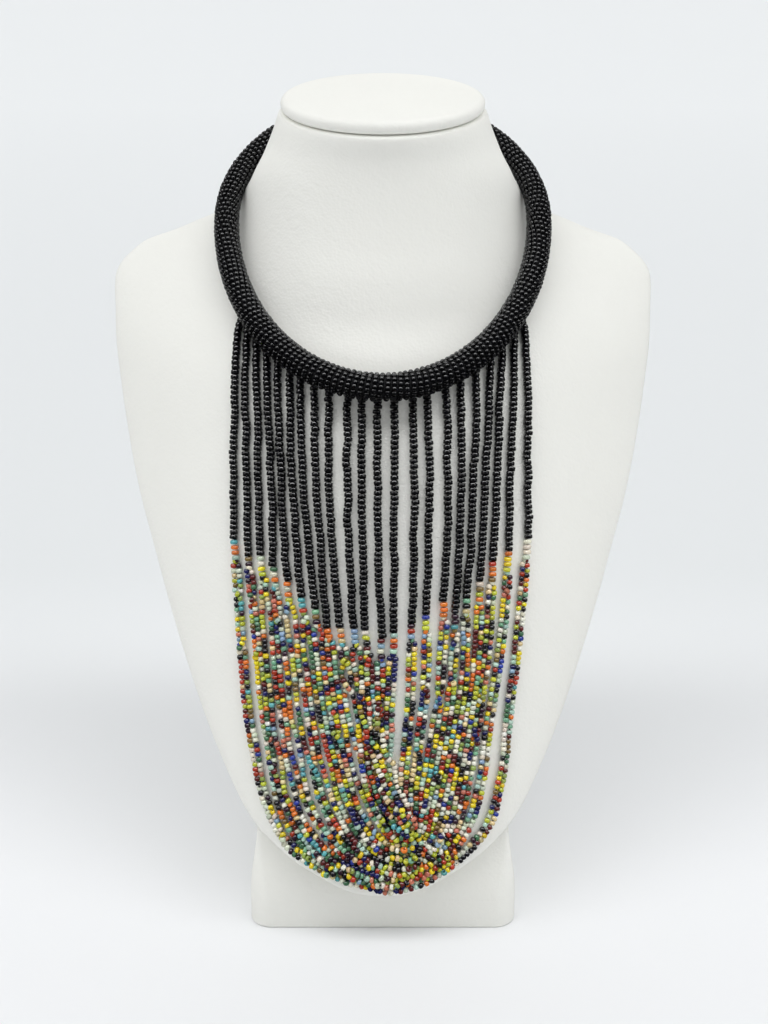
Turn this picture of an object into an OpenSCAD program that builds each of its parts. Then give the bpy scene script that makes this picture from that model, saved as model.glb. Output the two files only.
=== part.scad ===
// Fringe necklace of seed beads on a plain neck bust.
// +Z is up and the bust faces -Y. The origin is on the floor, under the middle of the whole.

/* [Collar] */
// Half of the ring's width, to the middle of the beaded roll
collar_half_w = 66.9; // [66.7:0.1:67.3]
// Length of the ring from its widest place to the front
collar_front = 92; // [91.8:0.1:92.4]
// Length of the ring from its widest place to the back
collar_back = 65.8; // [65.4:0.1:66.4]
// Slope of the ring against the floor, low at the front
collar_slope = 39; // [38.9:0.1:39.1]
// Radius of the roll at the front
roll_r_front = 6; // [5.6:0.1:6]
// Radius of the roll at the back
roll_r_back = 5; // [4.6:0.1:5]
// Length of the clasp between the ends of the roll
clasp_l = 14; // [10:1:16]
// Radius of the clasp
clasp_r = 4; // [3:0.2:4.2]

/* [Strings] */
// Diameter of a black bead
black_d = 3; // [2.6:0.1:3]
// Diameter of a coloured bead
colour_d = 2.1; // [1.9:0.05:2.1]
// Bare space between pieces that meet
gap = 0.3; // [0.2:0.05:0.35]
// Bare space between the strings and the bust
lift = 0.3; // [0.25:0.05:0.4]

/* [Neck cap] */
// Radius of the cap
cap_r = 43; // [42.6:0.1:43.2]
// Thickness of the cap
cap_t = 5.5; // [5:0.1:5.5]
// Rounding of the cap's rim
cap_round = 2.6; // [2:0.1:2.6]

/* [Foot] */
// Width of the foot
foot_w = 112; // [108:1:116]
// Depth of the foot
foot_l = 122; // [118:1:130]
// Height of the foot
foot_h = 18; // [16:0.5:18]
// Rounding of the foot's upright corners
foot_corner = 9; // [6:0.5:12]
// Rounding of the foot's upper edge
foot_round = 2.5; // [1.5:0.5:4]
// Width of the block between foot and bust
stem_w = 105.6; // [100:0.2:106]
// Height of the block's top above the floor
stem_top = 120; // [100:1:130]

/* [Hidden] */
PAIRS = 11;

$fn = 64;

// Widest place of the collar: the ring's centre, in depth and height.
ring_y = 36.9;
ring_z = 283.1;

// Front of the foot and of the block on it, and the block's back at its foot and top.
foot_front = -73;
stem_front = -64.7;
stem_back = 23.3;
stem_top_back = 13.3;

// The bust, a row for each level from the tip of the chest to the top of the neck.
LEVEL = 0;      // height above the floor
WIDTH = 1;      // half of the outline's width
CHEST = 2;      // depth of the chest's middle
BACK = 3;       // depth of the flat back
FORM = [
    [ 22.8,   2.5, -90.0, -72.0],
    [ 24.5,  11.0, -89.6, -71.0],
    [ 27.0,  19.5, -89.0, -69.5],
    [ 30.0,  26.5, -88.2, -67.7],
    [ 34.0,  36.0, -87.2, -65.2],
    [ 38.0,  43.0, -86.2, -62.8],
    [ 46.0,  53.0, -84.2, -58.0],
    [ 57.0,  61.0, -81.3, -51.3],
    [ 80.0,  73.0, -75.0, -37.4],
    [101.0,  82.0, -69.0, -24.7],
    [123.0,  90.5, -62.2, -11.4],
    [146.0,  98.5, -54.6,   2.5],
    [168.0, 106.0, -46.8,  15.8],
    [192.0, 112.0, -38.3,  30.3],
    [215.0, 116.5, -29.8,  44.2],
    [227.0, 118.5, -24.3,  51.4],
    [239.0, 119.5, -16.2,  58.8],
    [251.0, 120.5,  -5.7,  66.8],
    [257.0, 118.5,   0.3,  70.8],
    [263.0, 112.5,   6.8,  74.3],
    [267.5, 106.0,  12.5,  76.5],
    [272.0,  93.5,  18.2,  77.3],
    [276.5,  83.0,  24.5,  76.8],
    [282.0,  70.0,  33.0,  75.3],
    [288.0,  62.7,  43.0,  72.3],
    [294.0,  58.0,  51.0,  64.3],
    [300.0,  56.0,  59.3,  41.3],
    [306.0,  52.0,  69.3,  34.3],
    [313.0,  48.8,  79.3,  29.3],
    [320.0,  45.9,  91.3,  24.3],
    [325.6,  44.0,  99.4,  20.3],
    [326.8,  42.6, 101.3,  19.3]];

// The neck alone, from where it stands out of the chest.
NECK = 1;       // half of its width
THROAT = 2;     // depth of its front
NAPE = 3;       // depth of its back
COLUMN = [
    [200.0,  60.0, -10.7,  25.3],
    [240.0,  60.0, -12.7,  53.3],
    [262.0,  60.0,  -8.7,  71.3],
    [276.0,  59.8,  -5.2,  79.8],
    [288.0,  59.4,  -3.2,  83.3],
    [300.0,  56.0,  -2.2,  84.3],
    [313.0,  48.8,  -2.5,  83.3],
    [325.6,  44.0,  -4.3,  82.0],
    [326.8,  42.6,  -3.2,  80.8]];

// The chest's roundness, the width of the soft valley at the neck, how fast the neck's depth
// leaves the bust beside it, and how far off it is where the bust has no neck.
chest_round = 118;
valley_w = 5;
skirt = 12;
no_neck = 200;
// Sharpness of the outline's edge, which fades out between two levels.
edge_power = 8;
edge_full = 282;
edge_none = 300;
// The tip of the chest is rounded from this height upward.
tip_z = 22.4;
tip_round = 8;
// The neck's top slopes as the cap does, from this level up.
cap_y = 38.3;
cap_slope = 9.4;
slope_from = 296;

// The black strings from left to right.
TOP_X = 0;      // where it leaves the collar
MID_X = 1;      // halfway down
END_X = 2;      // where the coloured beads start
END_Z = 3;      // height of that place
BLACK = [
    [-59.0, -60.5, -60.5, 161.0],
    [-55.5, -55.5, -54.5, 155.5],
    [-51.5, -50.5, -49.5, 156.5],
    [-47.3, -45.5, -44.0, 153.0],
    [-42.5, -41.0, -38.5, 148.0],
    [-37.5, -36.0, -32.5, 142.5],
    [-33.0, -31.5, -27.0, 138.5],
    [-27.5, -26.0, -22.0, 131.5],
    [-21.5, -21.0, -17.0, 132.0],
    [-14.0, -14.0, -11.5, 132.0],
    [ -8.5,  -8.0,  -7.0, 131.5],
    [ -2.0,  -2.0,  -0.5, 128.5],
    [  4.5,   4.5,   4.5, 130.5],
    [ 12.0,  12.5,  11.5, 134.0],
    [ 17.5,  18.5,  17.0, 137.0],
    [ 25.0,  26.0,  24.5, 141.5],
    [ 31.0,  31.5,  29.0, 138.5],
    [ 37.5,  36.5,  33.5, 142.0],
    [ 43.5,  41.5,  39.0, 148.0],
    [ 48.5,  46.5,  44.5, 155.0],
    [ 54.0,  52.0,  51.0, 158.0],
    [ 58.5,  59.0,  59.0, 161.5]];

// The pairs of coloured strings, from the widest U to the narrowest. Each has five places, across
// and up: its left leg, where that turns in, its lowest place, where its right leg turns in, and
// its right leg.
LOOPS = [
    [[-52.0, 76.0], [-32.5, 39.0], [ 0.5, 31.7], [39.5, 45.0], [51.5, 84.5]],
    [[-46.5, 77.0], [-28.0, 43.0], [ 5.0, 35.0], [35.6, 47.7], [44.5, 85.0]],
    [[-41.0, 78.0], [-24.0, 46.6], [ 8.0, 38.3], [32.2, 50.5], [38.0, 85.5]],
    [[-35.5, 79.0], [-20.2, 50.0], [10.0, 41.6], [29.0, 53.0], [32.5, 86.0]],
    [[-30.0, 80.0], [-16.8, 53.3], [11.5, 44.9], [26.0, 55.4], [27.7, 86.5]],
    [[-25.0, 81.0], [-13.8, 56.6], [12.0, 48.2], [23.4, 57.5], [23.2, 87.0]],
    [[-20.0, 82.0], [-11.0, 60.0], [11.2, 51.5], [20.8, 59.8], [19.2, 87.5]],
    [[-15.5, 83.0], [ -8.6, 63.4], [ 9.5, 54.8], [18.2, 62.2], [15.4, 88.0]],
    [[-11.2, 84.0], [ -6.2, 67.0], [ 7.5, 58.4], [15.4, 64.8], [11.6, 88.5]],
    [[ -7.2, 85.0], [ -3.6, 70.2], [ 5.6, 62.2], [12.4, 68.0], [ 7.4, 89.0]],
    [[ -3.3, 86.0], [ -1.2, 72.0], [ 3.4, 66.4], [ 8.6, 70.4], [ 3.0, 89.5]]];

// The two strings of a pair lie this far to either side of the pair's path, and start this
// far below the black string.
pair_half = 1.1;
pair_drop = 1.6;

// The black strings end this share of a bead's width clear of the collar.
top_clear = 0.4;

// The block's slope follows the bust's back between these two rows of FORM.
block_row_low = 6;
block_row_high = 13;

// Sides of the tubes and of the bust, and steps along them.
STRING_SIDES = 8;
ROLL_SIDES = 12;
BODY_SIDES = 48;
ROLL_STEPS = 60;
BLACK_STEPS = 6;
SPAN_STEPS = 4;

// Value of a table's column at a level, on a smooth curve through its rows.
function row_at(t, z, i = 0) = i >= len(t) - 2 || z < t[i + 1][0] ? i : row_at(t, z, i + 1);
function rise(t, c, i) =
    let (a = max(i - 1, 0), b = min(i + 1, len(t) - 1))
    (t[b][c] - t[a][c]) / (t[b][0] - t[a][0]);
function read_at(t, c, z) =
    let (i = row_at(t, z),
         h = t[i + 1][0] - t[i][0],
         s = min(max((z - t[i][0]) / h, 0), 1))
    blend(t[i][c], t[i + 1][c], rise(t, c, i) * h, rise(t, c, i + 1) * h, s);

// A curve from a to b that leaves and arrives with given slopes.
function blend(a, b, slope_a, slope_b, s) =
    a * (1 + 2 * s) * (1 - s) * (1 - s) + slope_a * s * (1 - s) * (1 - s)
    + b * s * s * (3 - 2 * s) - slope_b * s * s * (1 - s);

// The smaller or larger of two depths, with the edge between them softened.
function soft_min(a, b) =
    let (h = max(valley_w - abs(a - b), 0) / valley_w)
    min(a, b) - h * h * valley_w / 4;
function soft_max(a, b) = -soft_min(-a, -b);

// Depth of the neck alone, at its front (side -1) or its back (side 1).
function neck_y(x, z, side) =
    z < COLUMN[0][LEVEL] ? -side * no_neck :
    let (w = read_at(COLUMN, NECK, z),
         f = read_at(COLUMN, THROAT, z),
         b = read_at(COLUMN, NAPE, z),
         s = min(abs(x) / w, 1))
    (f + b) / 2 + side * ((b - f) / 2 * sqrt(1 - s * s) - skirt * max(abs(x) - w, 0));

// Depth of the bust's front, where the strings lie, and of its back.
function front_y(x, z) =
    soft_min(neck_y(x, z, -1), read_at(FORM, CHEST, z) + x * x / (2 * chest_round));
function back_y(x, z) = soft_max(neck_y(x, z, 1), read_at(FORM, BACK, z));

// How much the front's depth grows for each step upward.
function lean(x, z) = front_y(x, z + 0.5) - front_y(x, z - 0.5);

// A point that stands a height clear of the bust's front.
function over_front(x, z, height) =
    let (d = [front_y(x + 0.5, z) - front_y(x - 0.5, z), -1, lean(x, z)])
    [x, front_y(x, z), z] + height / norm(d) * d;

// A closed skin over a row of rings with the same number of points. On a mirrored one, the
// triangles of the right half lean the other way.
module skin(rings, mirrored = false) {
    n = len(rings[0]);
    m = len(rings);
    polyhedron(
        points = [for (r = rings) each r],
        faces = concat(
            [[for (j = [n - 1:-1:0]) j]],
            [[for (j = [0:n - 1]) (m - 1) * n + j]],
            [for (i = [0:m - 2], j = [0:n - 1])
                let (a = i * n + j, b = i * n + (j + 1) % n)
                each mirrored && (j < n / 4 || j >= 3 * n / 4)
                    ? [[a, b, a + n], [b, b + n, a + n]]
                    : [[a, b, b + n], [a, b + n, a + n]]]));
}

// A tube along a route, with a radius for each point and a direction that is never along it.
module tube(route, radii, up, sides) {
    last = len(route) - 1;
    skin([for (i = [0:last])
        let (t = route[min(i + 1, last)] - route[max(i - 1, 0)],
             u = cross(t, up) / norm(cross(t, up)),
             v = cross(u, t) / norm(t))
        [for (j = [0:sides - 1])
            route[i] + radii[i] * (cos(360 * j / sides) * u + sin(360 * j / sides) * v)]]);
}

// One level of the bust, from its right edge along the front to the left edge and round the back.
function body_ring(row) =
    let (z = row[LEVEL],
         top = FORM[len(FORM) - 1][LEVEL],
         tip = min(1, (z - tip_z) / tip_round),
         thick = sqrt(1 - (1 - tip) * (1 - tip)),
         thin = min(1, max(0, (edge_none - z) / (edge_none - edge_full))),
         slope = tan(cap_slope) * max(0, z - slope_from) / (top - slope_from))
    [for (i = [0:BODY_SIDES - 1])
        let (a = 360 * i / BODY_SIDES,
             x = row[WIDTH] * cos(a),
             f = front_y(x, z),
             b = back_y(x, z),
             edge = 1 - thin * (1 - sqrt(1 - pow(abs(cos(a)), edge_power))),
             y = (f + b) / 2 - sign(sin(a)) * (b - f) / 2 * thick * edge)
        [x, y, z + slope * (y - cap_y)]];

module bust_body() {
    color("#e4e5e0") skin([for (row = FORM) body_ring(row)], true);
}

// A padded disc, held just clear of the neck's sloping top.
module neck_cap() {
    neck_top = FORM[len(FORM) - 1][LEVEL];
    color("#e4e5e0")
    translate([0, cap_y, neck_top + gap / cos(cap_slope)])
    rotate([cap_slope, 0, 0]) {
        cylinder(r = cap_r - cap_round, h = cap_t);
        translate([0, 0, cap_round]) cylinder(r = cap_r, h = cap_t - 2 * cap_round);
        for (h = [cap_round, cap_t - cap_round])
            translate([0, 0, h])
            rotate_extrude() translate([cap_r - cap_round, 0]) circle(r = cap_round);
    }
}

// A plate's outline with round corners, from the places of the corners' middles.
module round_plate(x, y, r) {
    square([2 * (x + r), 2 * y], center = true);
    square([2 * x, 2 * (y + r)], center = true);
    for (sx = [-1, 1], sy = [-1, 1]) translate([sx * x, sy * y]) circle(r = r);
}

// A slab with round upright corners and a soft upper edge.
module bust_foot() {
    x = foot_w / 2 - foot_corner;
    y = foot_l / 2 - foot_corner;
    inner = foot_corner - foot_round;
    color("#e4e5e0")
    translate([0, foot_front + foot_l / 2, 0]) {
        linear_extrude(foot_h - foot_round) round_plate(x, y, foot_corner);
        linear_extrude(foot_h) round_plate(x, y, inner);
        translate([0, 0, foot_h - foot_round]) {
            for (sx = [-1, 1], sy = [-1, 1])
                translate([sx * x, sy * y, 0])
                rotate_extrude() translate([inner, 0]) circle(r = foot_round);
            for (s = [-1, 1]) {
                translate([s * (x + inner), 0, 0])
                    rotate([90, 0, 0]) cylinder(r = foot_round, h = 2 * y, center = true);
                translate([0, s * (y + inner), 0])
                    rotate([0, 90, 0]) cylinder(r = foot_round, h = 2 * x, center = true);
            }
        }
    }
}

// A block that fills the room between the foot and the bust's sloping back.
module bust_stem() {
    foot_z = foot_h + gap;
    low = FORM[block_row_low];
    high = FORM[block_row_high];
    slope = (high[BACK] - low[BACK]) / (high[LEVEL] - low[LEVEL]);
    clear = 2 * gap;
    front_z = low[LEVEL] + (stem_front - low[BACK] - clear) / slope;
    top_y = low[BACK] + (stem_top - low[LEVEL]) * slope + clear;
    color("#e4e5e0")
    rotate([90, 0, 90]) translate([0, 0, -stem_w / 2]) linear_extrude(stem_w)
        polygon([
            [stem_front, foot_z], [stem_front, front_z],
            [top_y, stem_top], [stem_top_back, stem_top], [stem_back, foot_z]]);
}

// The collar's middle line, by the angle from the front.
function ring_point(a) =
    let (v = cos(a) * (cos(a) > 0 ? collar_front : collar_back))
    [collar_half_w * sin(a), ring_y - v * cos(collar_slope), ring_z - v * sin(collar_slope)];
function ring_dir(a) =
    let (d = ring_point(a + 0.5) - ring_point(a - 0.5)) d / norm(d);
function roll_r(a) = roll_r_back + (roll_r_front - roll_r_back) * (1 + cos(a)) / 2;

module collar() {
    open = asin((clasp_l / 2 + 2 * gap) / collar_half_w);
    angles = [for (i = [0:ROLL_STEPS]) (180 - open) * (2 * i / ROLL_STEPS - 1)];
    color("#1b1c22")
    tube([for (a = angles) ring_point(a)], [for (a = angles) roll_r(a)],
        [0, -sin(collar_slope), cos(collar_slope)], ROLL_SIDES);
}

module clasp() {
    color("#8c8f94")
    translate(ring_point(180)) rotate([0, 90, 0]) {
        cylinder(r = clasp_r, h = clasp_l - 4, center = true);
        cylinder(r = clasp_r - 1, h = clasp_l, center = true);
    }
}

// Part of a vector that is square to a direction.
function square_to(v, dir) = v - (v * dir) * dir;

// Level at which a string ends just below the collar.
function string_top(x) =
    let (a = asin(x / collar_half_w),
         p = ring_point(a),
         down = [0, -lean(x, p[2]), -1],
         d = square_to(down, ring_dir(a)),
         w = square_to(over_front(x, p[2], black_d / 2 + lift) - p, ring_dir(a)),
         away = roll_r(a) + gap + black_d * top_clear)
    p[2] - (sqrt(pow(w * d, 2) - (d * d) * (w * w - away * away)) - w * d) / (d * d);

module black_string(i) {
    b = BLACK[i - 1];
    z = string_top(b[TOP_X]);
    color("#1b1c22")
    tube([for (s = [0:BLACK_STEPS])
            let (t = s / BLACK_STEPS)
            over_front(
                b[TOP_X] * (1 - t) * (1 - 2 * t) + b[MID_X] * 4 * t * (1 - t)
                    + b[END_X] * t * (2 * t - 1),
                z + (b[END_Z] - z) * t, black_d / 2 + lift)],
        [for (s = [0:BLACK_STEPS]) black_d / 2], [0, -1, 0], STRING_SIDES);
}

// Direction and place on a smooth path through given points.
function path_dir(p, i) =
    let (a = i > 0 ? p[i] - p[i - 1] : p[1] - p[0],
         b = i < len(p) - 1 ? p[i + 1] - p[i] : a,
         d = a / norm(a) * norm(b) + b / norm(b) * norm(a))
    d / norm(d);
function path_at(p, i, t) =
    let (l = norm(p[i + 1] - p[i]))
    blend(p[i], p[i + 1], path_dir(p, i) * l, path_dir(p, i + 1) * l, t);

// Path of a pair on the chest, from the left black string to the right one.
function pair_path(k) =
    let (l = BLACK[k - 1], r = BLACK[2 * PAIRS - k])
    concat([[l[END_X], l[END_Z] - pair_drop]], LOOPS[k - 1], [[r[END_X], r[END_Z] - pair_drop]]);

// One string of a pair: side 1 is the wider U, and it lies on the other one.
module colour_loop(k, side) {
    p = pair_path(k);
    spans = len(p) - 1;
    height = colour_d / 2 + lift + (side > 0 ? colour_d + gap : 0);
    ways = [for (i = [0:spans * SPAN_STEPS])
        let (s = min(floor(i / SPAN_STEPS), spans - 1)) path_at(p, s, i / SPAN_STEPS - s)];
    last = len(ways) - 1;
    color(side > 0 ? "#b8503a" : "#3a6fb8")
    tube([for (i = [0:last])
            let (d = ways[min(i + 1, last)] - ways[max(i - 1, 0)],
                 q = ways[i] + side * pair_half / norm(d) * [d[1], -d[0]])
            over_front(q[0], q[1], height)],
        [for (w = ways) colour_d / 2], [0, -1, 0], STRING_SIDES);
}

bust_body();
neck_cap();
bust_foot();
bust_stem();
collar();
clasp();
for (i = [1:2 * PAIRS])
    black_string(i);
for (k = [1:PAIRS])
    colour_loop(k, 1);
for (k = [1:PAIRS])
    colour_loop(k, -1);
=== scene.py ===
import math

import bpy
import numpy as np
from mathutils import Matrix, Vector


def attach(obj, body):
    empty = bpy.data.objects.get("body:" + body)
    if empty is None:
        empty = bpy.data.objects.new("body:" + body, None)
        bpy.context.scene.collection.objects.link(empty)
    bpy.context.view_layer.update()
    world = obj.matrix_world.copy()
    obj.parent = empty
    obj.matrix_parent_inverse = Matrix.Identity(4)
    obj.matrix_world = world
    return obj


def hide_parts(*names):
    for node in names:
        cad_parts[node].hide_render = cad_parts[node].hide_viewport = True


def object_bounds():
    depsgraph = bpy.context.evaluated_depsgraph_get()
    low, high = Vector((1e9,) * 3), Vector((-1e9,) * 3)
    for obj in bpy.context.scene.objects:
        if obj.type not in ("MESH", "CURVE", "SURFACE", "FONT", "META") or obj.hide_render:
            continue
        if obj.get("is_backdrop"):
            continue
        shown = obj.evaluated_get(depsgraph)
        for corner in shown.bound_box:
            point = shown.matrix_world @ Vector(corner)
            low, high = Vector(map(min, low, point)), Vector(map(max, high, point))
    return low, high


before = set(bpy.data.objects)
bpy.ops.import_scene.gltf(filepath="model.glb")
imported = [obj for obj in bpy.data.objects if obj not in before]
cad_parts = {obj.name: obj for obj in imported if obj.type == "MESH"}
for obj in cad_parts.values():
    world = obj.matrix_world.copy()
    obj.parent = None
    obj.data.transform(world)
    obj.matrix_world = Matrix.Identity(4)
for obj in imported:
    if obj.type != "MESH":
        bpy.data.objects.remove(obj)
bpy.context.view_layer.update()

# The bust is a shaped board with a thin pad, wrapped in white leatherette. The cover is pulled
# tight round the board's edge and glued, so the edge is soft and has no seam at the front.

MM = 0.001

# Height, half of the width, depth of the chest's middle and depth of the back, in millimetres.
LEVEL, WIDTH, CHEST, BACK = range(4)
FORM = np.array([
    [22.8, 2.5, -90, -72],
    [24.5, 11, -89.6, -71],
    [27, 19.5, -89, -69.5],
    [30, 26.5, -88.2, -67.7],
    [34, 36, -87.2, -65.2],
    [38, 43, -86.2, -62.8],
    [46, 53, -84.2, -58],
    [57, 61, -81.3, -51.3],
    [80, 73, -75, -37.4],
    [101, 82, -69, -24.7],
    [123, 90.5, -62.2, -11.4],
    [146, 98.5, -54.6, 2.5],
    [168, 106, -46.8, 15.8],
    [192, 112, -38.3, 30.3],
    [215, 116.5, -29.8, 44.2],
    [227, 118.5, -24.3, 51.4],
    [239, 119.5, -16.2, 58.8],
    [251, 120.5, -5.7, 66.8],
    [257, 118.5, 0.3, 70.8],
    [263, 112.5, 6.8, 74.3],
    [267.5, 106, 12.5, 76.5],
    [272, 93.5, 18.2, 77.3],
    [276.5, 83, 24.5, 76.8],
    [282, 70, 33, 75.3],
    [288, 62.7, 43, 72.3],
    [294, 58, 51, 64.3],
    [300, 56, 59.3, 41.3],
    [306, 52, 69.3, 34.3],
    [313, 48.8, 79.3, 29.3],
    [320, 45.9, 91.3, 24.3],
    [325.6, 44, 99.4, 20.3],
    [326.8, 42.6, 101.3, 19.3],
])

# The neck alone: height, half of its width, depth of the throat and depth of the nape.
NECK, THROAT, NAPE = 1, 2, 3
COLUMN = np.array([
    [200, 60, -10.7, 25.3],
    [240, 60, -12.7, 53.3],
    [262, 60, -8.7, 71.3],
    [276, 59.8, -5.2, 79.8],
    [288, 59.4, -3.2, 83.3],
    [300, 56, -2.2, 84.3],
    [313, 48.8, -2.5, 83.3],
    [325.6, 44, -4.3, 82],
    [326.8, 42.6, -3.2, 80.8],
])

# The chest is round from side to side, and the neck runs out into it in a soft valley.
CHEST_ROUND = 118
VALLEY = 5
SKIRT = 12
NO_NECK = 200
# The board's edge is fully round up to EDGE_FULL and fades out by EDGE_NONE.
EDGE_POWER = 8
EDGE_FULL = 282
EDGE_NONE = 300
TIP = 22.4
TIP_ROUND = 8
# From SLOPE_FROM up, the neck turns into the slope of the cap on its top.
CAP_Y = 38.3
CAP_SLOPE = math.radians(9.4)
SLOPE_FROM = 296
NECK_TOP = FORM[-1, LEVEL]
# Levels from one row of FORM to the next, and points across a quarter of each level: outside
# the foot of the neck, and inside it.
BUST_STEPS = 4
OUTER_SIDES = 16
INNER_SIDES = 20
BUST_SIDES = 4 * (OUTER_SIDES + INNER_SIDES)
NECK_FOOT = 60
NECK_SHARE = 0.97
# The valley is eased between two levels, fully up to VALLEY_NEAR from the neck's foot and not
# at all beyond VALLEY_FAR.
VALLEY_LOW = 252
VALLEY_HIGH = 308
VALLEY_FADE = 12
VALLEY_NEAR = 6.6
VALLEY_FAR = 28.6
VALLEY_EASE = 0.6
VALLEY_ROUNDS = 60
# Of the edge itself, only a short stretch at the neck's foot is eased.
NECK_EDGE = 295
NECK_EDGE_REACH = 10
NECK_EDGE_EASE = 0.6


def read_at(table, column, z):
    """A table's column at any height, on a smooth curve through its rows."""
    level = table[:, LEVEL]
    value = table[:, column]
    before = np.maximum(np.arange(len(level)) - 1, 0)
    after = np.minimum(np.arange(len(level)) + 1, len(level) - 1)
    rise = (value[after] - value[before]) / (level[after] - level[before])
    row = np.clip(np.searchsorted(level, z, side="right") - 1, 0, len(level) - 2)
    step = level[row + 1] - level[row]
    s = np.clip((z - level[row]) / step, 0, 1)
    return (value[row] * (1 + 2 * s) * (1 - s) ** 2 + rise[row] * step * s * (1 - s) ** 2
            + value[row + 1] * s * s * (3 - 2 * s) - rise[row + 1] * step * s * s * (1 - s))


def soft_min(a, b):
    """The smaller depth, with the edge between the two softened."""
    near = np.maximum(VALLEY - np.abs(a - b), 0) / VALLEY
    return np.minimum(a, b) - near * near * VALLEY / 4


def neck_depth(x, z, side):
    """Depth of the neck alone: side -1 is the throat, side 1 the nape."""
    half = read_at(COLUMN, NECK, z)
    throat = read_at(COLUMN, THROAT, z)
    nape = read_at(COLUMN, NAPE, z)
    round_off = np.sqrt(1 - np.minimum(np.abs(x) / half, 1) ** 2)
    spread = SKIRT * np.maximum(np.abs(x) - half, 0)
    depth = (throat + nape) / 2 + side * ((nape - throat) / 2 * round_off - spread)
    return np.where(z < COLUMN[0, LEVEL], -side * NO_NECK, depth)


def chest_depth(x, z):
    return soft_min(neck_depth(x, z, -1), read_at(FORM, CHEST, z) + x * x / (2 * CHEST_ROUND))


def back_depth(x, z):
    return -soft_min(-neck_depth(x, z, 1), -read_at(FORM, BACK, z))


def eased(points, movable):
    """The skin with the valley between the neck and the shoulders drawn out smoothly."""
    x = np.abs(points[..., 0])
    z = points[..., 2]
    aside = (VALLEY_FAR - np.abs(x - NECK_FOOT)) / (VALLEY_FAR - VALLEY_NEAR)
    upward = np.minimum(z - VALLEY_LOW, VALLEY_HIGH - z) / VALLEY_FADE
    weight = VALLEY_EASE * np.clip(aside, 0, 1) * np.clip(upward, 0, 1) * movable
    for _ in range(VALLEY_ROUNDS):
        across = np.roll(points, 1, 1) + np.roll(points, -1, 1)
        around = (across[1:-1] + points[2:] + points[:-2]) / 4
        points[1:-1] += (around - points[1:-1]) * weight[1:-1, :, None]
    return points


def bust_points(levels):
    """The bust's skin, level by level, from its right edge over the chest and round the back."""
    z = levels[:, None]
    half = read_at(FORM, WIDTH, z)
    foot = np.minimum(NECK_FOOT, half * NECK_SHARE)
    outer = (1 + np.cos(np.arange(OUTER_SIDES) * math.pi / OUTER_SIDES)) / 2
    inner = np.cos(np.arange(INNER_SIDES + 1) * math.pi / 2 / INNER_SIDES)
    quarter = np.concatenate([foot + (half - foot) * outer, foot * inner], 1)
    front_x = np.concatenate([quarter, -quarter[:, -2::-1]], 1)
    x = np.concatenate([front_x, front_x[:, -2:0:-1]], 1)
    place = np.arange(BUST_SIDES)
    at_edge = place % (BUST_SIDES // 2) == 0
    side = np.where(at_edge, 0, np.where(place < BUST_SIDES // 2, 1, -1))
    front = chest_depth(x, z)
    back = back_depth(x, z)
    tip = np.minimum((z - TIP) / TIP_ROUND, 1)
    thick = np.sqrt(1 - (1 - tip) ** 2)
    thin = np.clip((EDGE_NONE - z) / (EDGE_NONE - EDGE_FULL), 0, 1)
    edge = 1 - thin * (1 - np.sqrt(1 - np.minimum(np.abs(x) / half, 1) ** EDGE_POWER))
    y = (front + back) / 2 - side * (back - front) / 2 * thick * edge
    slope = math.tan(CAP_SLOPE) * np.maximum(z - SLOPE_FROM, 0) / (NECK_TOP - SLOPE_FROM)
    # The edge at the neck's foot moves too, so that the two sides meet without a pinch.
    near_foot = 1 - np.abs(z - NECK_EDGE) / NECK_EDGE_REACH
    movable = np.where(at_edge, np.clip(near_foot, 0, NECK_EDGE_EASE), 1)
    return eased(np.stack([x, y, z + slope * (y - CAP_Y)], -1), movable)


def skin_faces(rows, sides):
    """Corners of the faces between the rows of a closed skin, which run clockwise from above."""
    row, place = np.meshgrid(np.arange(rows - 1), np.arange(sides), indexing="ij")
    here = row * sides + place
    beside = row * sides + (place + 1) % sides
    return np.stack([here, here + sides, beside + sides, beside], -1).reshape(-1, 4)


def new_object(name, data):
    thing = bpy.data.objects.new(name, data)
    bpy.context.collection.objects.link(thing)
    return thing


def make_piece(name, points, faces, ends=()):
    """A smooth mesh from points in millimetres, four-cornered faces and a few end faces."""
    points = np.reshape(points, (-1, 3)) * MM
    corners = np.concatenate([np.ravel(faces), *ends]).astype(np.int32)
    sizes = np.concatenate([np.full(len(faces), 4), [len(end) for end in ends]]).astype(np.int32)
    mesh = bpy.data.meshes.new(name)
    mesh.vertices.add(len(points))
    mesh.vertices.foreach_set("co", points.astype(np.float32).ravel())
    mesh.loops.add(len(corners))
    mesh.loops.foreach_set("vertex_index", corners)
    mesh.polygons.add(len(sizes))
    mesh.polygons.foreach_set("loop_start", np.cumsum(sizes) - sizes)
    mesh.polygons.foreach_set("use_smooth", np.ones(len(sizes), bool))
    mesh.update(calc_edges=True)
    mesh.validate()
    return new_object(name, mesh)


def closed_skin(name, rows):
    """A smooth piece from rows of points round it, with a face over the first and last row."""
    count, sides = np.shape(rows)[:2]
    first = np.arange(sides)
    ends = [first, first[::-1] + (count - 1) * sides]
    return make_piece(name, rows, skin_faces(count, sides), ends)


def fit_piece(piece, material, slot, *nodes):
    """Gives a piece its finish, hides the solids it stands for, and hangs it under the root."""
    piece.data.materials.append(material)
    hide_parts(*nodes)
    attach(piece, "root")


def plain_colour(red, green, blue):
    """A colour as seen, from 0 to 255, in the light values that shaders use."""
    seen = np.array([red, green, blue]) / 255
    return np.where(seen < 0.04045, seen / 12.92, ((seen + 0.055) / 1.055) ** 2.4)


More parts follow.
